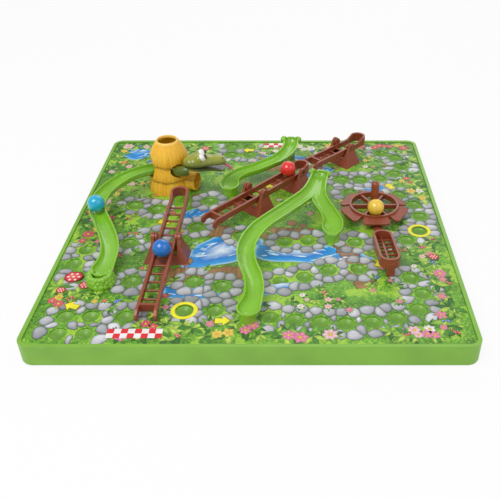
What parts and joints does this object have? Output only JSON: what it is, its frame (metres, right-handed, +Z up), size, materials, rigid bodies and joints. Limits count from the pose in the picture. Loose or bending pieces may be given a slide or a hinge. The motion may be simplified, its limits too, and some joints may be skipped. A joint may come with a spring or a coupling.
{
  "type": "snakes and ladders ball run board",
  "caption": "Tabletop game board: square tray with dished wells, tilting ladders, winding slides, a domed hut, a snake's head, a paddle wheel and balls.",
  "frame": {"origin": "centre of the tray's underside, on the table", "axes": "+Z up, +Y towards the back side with the finish, +X to the right as the player at the front sees the board"},
  "size_m": [0.31, 0.31, 0.064],
  "materials": {
    "tray_green": "satin, moulded",
    "card": "printed card, satin varnish",
    "straw": "moulded thatch relief, satin",
    "olive": "satin",
    "white": "gloss",
    "black": "gloss",
    "pink": "satin",
    "slide_green": "semi-gloss",
    "brown": "satin, moulded",
    "ball_blue": "gloss",
    "ball_cyan": "gloss",
    "ball_red": "gloss",
    "ball_yellow": "gloss"
  },
  "bodies": {
    "board": {"base_tray": "tray_green", "printed_card": "card", "hut_shell": "straw", "hut_post": "slide_green", "snake_neck": "olive", "snake_head": "olive", "snake_jaw": "olive", "snake_eyes": "white", "snake_pupils": "black", "snake_tongue": "pink", "slide_hut": "slide_green", "slide_fork": "slide_green", "fork_pillar": "slide_green", "slide_back": "slide_green", "back_pillar": "slide_green", "stand_front": "brown", "stand_middle": "brown", "stand_landing": "brown", "stand_back": "brown", "mill_trough": "brown", "mill_post": "brown"},
    "front_ladder": {"ladder_front": "brown"},
    "middle_ladder": {"ladder_middle": "brown"},
    "back_ladder": {"ladder_back": "brown"},
    "wheel": {"mill_wheel": "brown"},
    "blue_ball": {"ball_blue": "ball_blue"},
    "red_ball": {"ball_red": "ball_red"},
    "cyan_ball": {"ball_cyan": "ball_cyan"},
    "yellow_ball": {"ball_yellow": "ball_yellow"}
  },
  "joints": [
    {"name": "front_tilt", "type": "hinge", "parent": "board", "child": "front_ladder", "pos_m": [-0.06901, -0.04852, 0.0335], "axis": [0.999, -0.0436, 0], "range_deg": [-13.9, 0]},
    {"name": "middle_tilt", "type": "hinge", "parent": "board", "child": "middle_ladder", "pos_m": [-0.00329, 0.02449, 0.0335], "axis": [0.7615, -0.6481, 0], "range_deg": [0, 7.6]},
    {"name": "back_tilt", "type": "hinge", "parent": "board", "child": "back_ladder", "pos_m": [0.07778, 0.11421, 0.0335], "axis": [0.712, -0.7022, 0], "range_deg": [-17, 9]},
    {"name": "wheel_spin", "type": "hinge", "parent": "board", "child": "wheel", "pos_m": [0.09799, 0.012, 0.0225], "axis": [0, 0, 1], "continuous": true},
    {"name": "blue_lift", "type": "slide", "parent": "front_ladder", "child": "blue_ball", "axis": [-0.0041, -0.094, 0.9956], "range_m": [0, 0.04]},
    {"name": "red_lift", "type": "slide", "parent": "middle_ladder", "child": "red_ball", "axis": [0, 0, 1], "range_m": [0, 0.04]},
    {"name": "cyan_lift", "type": "slide", "parent": "board", "child": "cyan_ball", "axis": [0, 0, 1], "range_m": [0, 0.04]},
    {"name": "yellow_lift", "type": "slide", "parent": "wheel", "child": "yellow_ball", "axis": [0, 0, 1], "range_m": [0, 0.04]}
  ]
}
